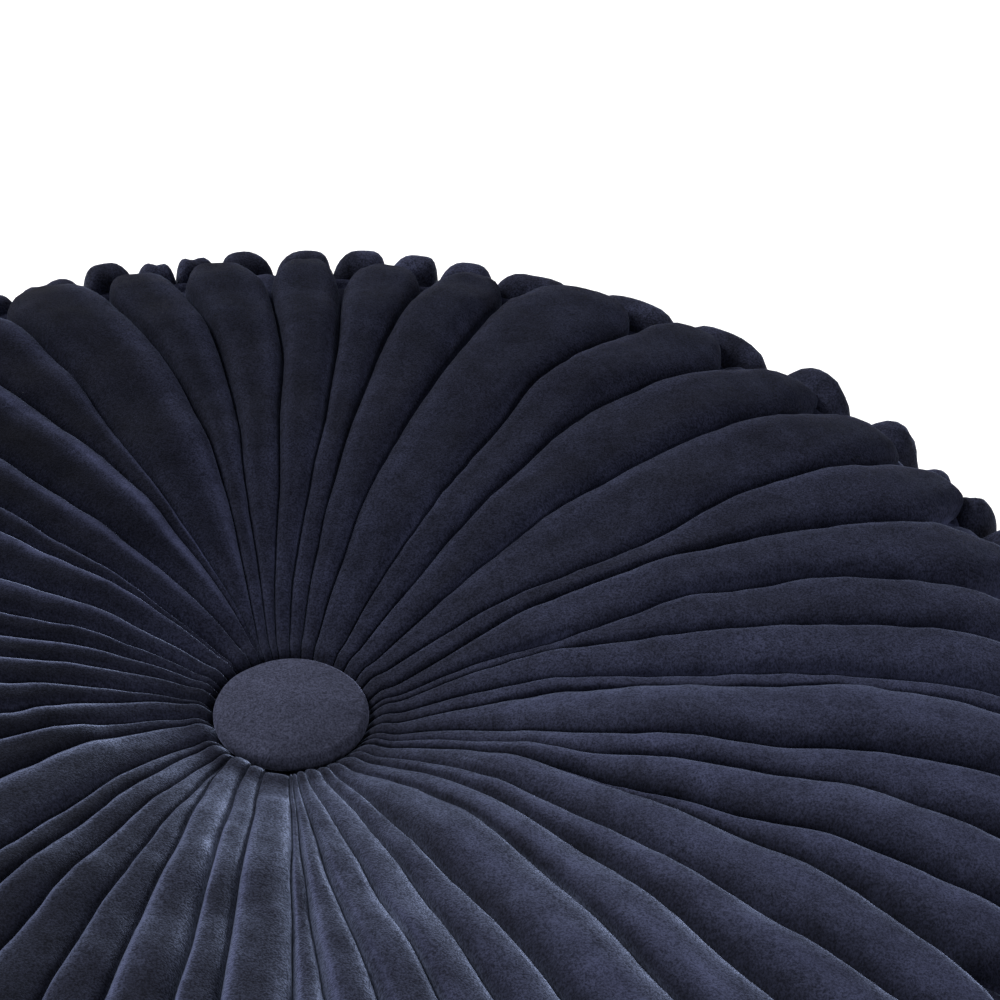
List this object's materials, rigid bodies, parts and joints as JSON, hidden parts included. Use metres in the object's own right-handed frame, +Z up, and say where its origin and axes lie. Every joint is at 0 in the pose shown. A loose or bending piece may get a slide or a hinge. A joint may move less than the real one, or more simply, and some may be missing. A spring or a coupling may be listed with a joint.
{
  "type": "seat cushion",
  "caption": "Round box-edged seat cushion in dark blue velvet, pleated from rim to centre and drawn into a dimple by a covered button on each face.",
  "frame": {"origin": "centre of the underside, in the plane the cushion rests on", "axes": "+Z up through both buttons, the cushion's axis of symmetry; +X and +Y are any two directions across the seat"},
  "size_m": [0.418, 0.418, 0.1],
  "materials": {
    "velvet": "short-pile velvet, dark blue with a paler blue-grey sheen",
    "button_velvet": "short-pile velvet stretched over the button",
    "seam_thread": "spun polyester sewing thread",
    "calico": "unbleached plain-weave cotton",
    "calico_thread": "cotton sewing thread",
    "fibre": "white hollow polyester fibre",
    "button_alloy": "pressed, satin",
    "button_steel": "zinc plated",
    "loop_wire": "zinc-plated wire",
    "twine": "waxed linen tufting twine"
  },
  "bodies": {
    "base": {"side_band": "velvet", "bottom_panel": "velvet", "bottom_rim_seam": "seam_thread", "bottom_gather_thread": "seam_thread", "lining_side": "calico", "lining_bottom": "calico", "lining_bottom_seam": "calico_thread", "fibre_fill": "fibre", "bottom_button_cover": "button_velvet", "bottom_button_shell": "button_alloy", "bottom_button_back_plate": "button_steel", "bottom_button_loop": "loop_wire", "tufting_twine": "twine", "twine_knot": "twine"},
    "crown": {"top_panel": "velvet", "top_rim_seam": "seam_thread", "top_gather_thread": "seam_thread", "lining_top": "calico", "lining_top_seam": "calico_thread", "top_button_cover": "button_velvet", "top_button_shell": "button_alloy", "top_button_back_plate": "button_steel", "top_button_loop": "loop_wire"}
  },
  "joints": [
    {"name": "sit_compression", "type": "slide", "parent": "base", "child": "crown", "axis": [0, 0, 1], "range_m": [-0.03, 0], "stiffness_N_per_m": 16000, "deforming": ["fibre_fill", "lining_side", "tufting_twine"]}
  ]
}
